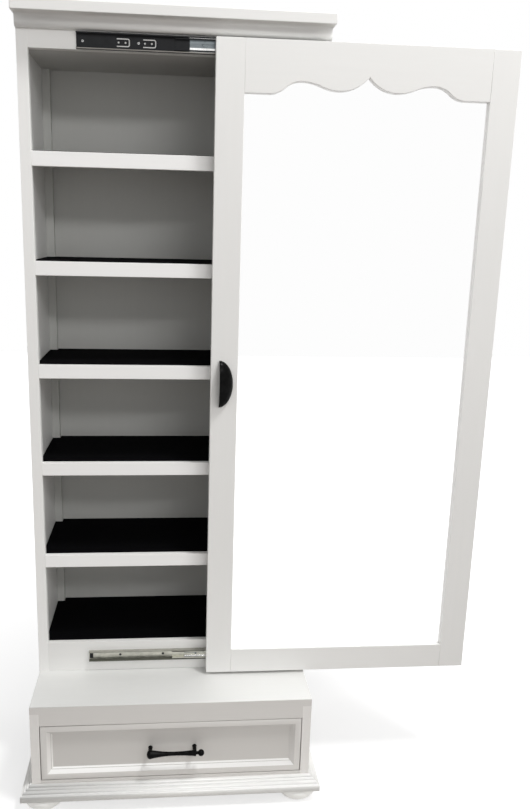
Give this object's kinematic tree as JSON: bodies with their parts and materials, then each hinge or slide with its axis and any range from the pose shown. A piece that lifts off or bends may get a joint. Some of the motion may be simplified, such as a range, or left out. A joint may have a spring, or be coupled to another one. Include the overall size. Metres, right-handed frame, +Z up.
{
  "type": "mirror cabinet",
  "caption": "Tall white shoe cabinet with shelves behind a full-length mirror on a sideways sliding door, over a deeper base with a drawer and bun feet.",
  "frame": {"origin": "on the floor, under the middle of the whole outline with the door slid fully open to the right and the drawer shut", "axes": "+Z up, -Y towards the viewer of the mirror, +X to the viewer's right, the way the door slides open"},
  "size_m": [1.16, 0.44, 1.9018],
  "materials": {
    "white_paint": "satin white lacquer",
    "back_paint": "flat white board",
    "mat_felt": "dense black felt",
    "mirror": "clear silvered mirror",
    "backing_board": "raw fibreboard",
    "zinc_steel": "bright zinc plate",
    "black_zinc": "black zinc plate",
    "ball_steel": "polished",
    "black_iron": "satin black"
  },
  "bodies": {
    "cabinet": {"side_panel_left": "white_paint", "side_panel_right": "white_paint", "back_panel": "back_paint", "rear_corner_battens": "white_paint", "floor_panel": "white_paint", "ceiling_panel": "white_paint", "face_stile_left": "white_paint", "face_stile_right": "white_paint", "sill_rail": "white_paint", "head_rail": "white_paint", "shelf_1": "white_paint", "shelf_2": "white_paint", "shelf_3": "white_paint", "shelf_4": "white_paint", "shelf_5": "white_paint", "shelf_lippings": "white_paint", "shelf_mats": "mat_felt", "crown_board": "white_paint", "crown_frieze": "white_paint", "base_top": "white_paint", "base_side_left": "white_paint", "base_side_right": "white_paint", "base_back": "back_paint", "base_bottom": "white_paint", "base_stiles": "white_paint", "base_bottom_rail": "white_paint", "base_top_rail": "white_paint", "plinth_moulding_front": "white_paint", "plinth_moulding_returns": "white_paint", "bun_feet": "white_paint", "top_slide_outer": "black_zinc", "bottom_slide_outer": "zinc_steel", "slide_screws_cabinet": "zinc_steel", "drawer_slide_outers": "zinc_steel"},
    "door": {"door_stile_left": "white_paint", "door_stile_right": "white_paint", "door_top_rail": "white_paint", "door_bottom_rail": "white_paint", "mirror_glass": "mirror", "door_back_board": "backing_board", "door_cup_pull": "black_iron", "door_pull_screws": "zinc_steel", "top_slide_inner": "black_zinc", "bottom_slide_inner": "zinc_steel", "slide_screws_door": "zinc_steel"},
    "door_slide_middles": {"top_slide_middle": "black_zinc", "bottom_slide_middle": "zinc_steel", "slide_stop_clips": "zinc_steel"},
    "outer_cages": {"outer_ball_cages": "ball_steel"},
    "inner_cages": {"inner_ball_cages": "ball_steel"},
    "drawer": {"drawer_front": "white_paint", "drawer_side_left": "white_paint", "drawer_side_right": "white_paint", "drawer_box_back": "white_paint", "drawer_bottom": "white_paint", "drawer_pull": "black_iron", "drawer_pull_screws": "zinc_steel", "drawer_slide_inners": "zinc_steel"},
    "drawer_cages": {"drawer_slide_cages": "ball_steel"}
  },
  "joints": [
    {"name": "door_slide", "type": "slide", "parent": "cabinet", "child": "door", "axis": [1, 0, 0], "range_m": [-0.436, 0]},
    {"name": "slide_middles_run", "type": "slide", "parent": "cabinet", "child": "door_slide_middles", "axis": [1, 0, 0], "range_m": [-0.218, 0]},
    {"name": "outer_cages_run", "type": "slide", "parent": "cabinet", "child": "outer_cages", "axis": [1, 0, 0], "range_m": [-0.109, 0]},
    {"name": "inner_cages_run", "type": "slide", "parent": "cabinet", "child": "inner_cages", "axis": [1, 0, 0], "range_m": [-0.327, 0]},
    {"name": "drawer_slide", "type": "slide", "parent": "cabinet", "child": "drawer", "axis": [0, -1, 0], "range_m": [0, 0.24]},
    {"name": "drawer_cages_run", "type": "slide", "parent": "cabinet", "child": "drawer_cages", "axis": [0, -1, 0], "range_m": [0, 0.12]}
  ],
  "couplings": [
    {"joint": "slide_middles_run", "follows": "door_slide", "ratio": 0.5},
    {"joint": "outer_cages_run", "follows": "door_slide", "ratio": 0.25},
    {"joint": "inner_cages_run", "follows": "door_slide", "ratio": 0.75},
    {"joint": "drawer_cages_run", "follows": "drawer_slide", "ratio": 0.5}
  ]
}
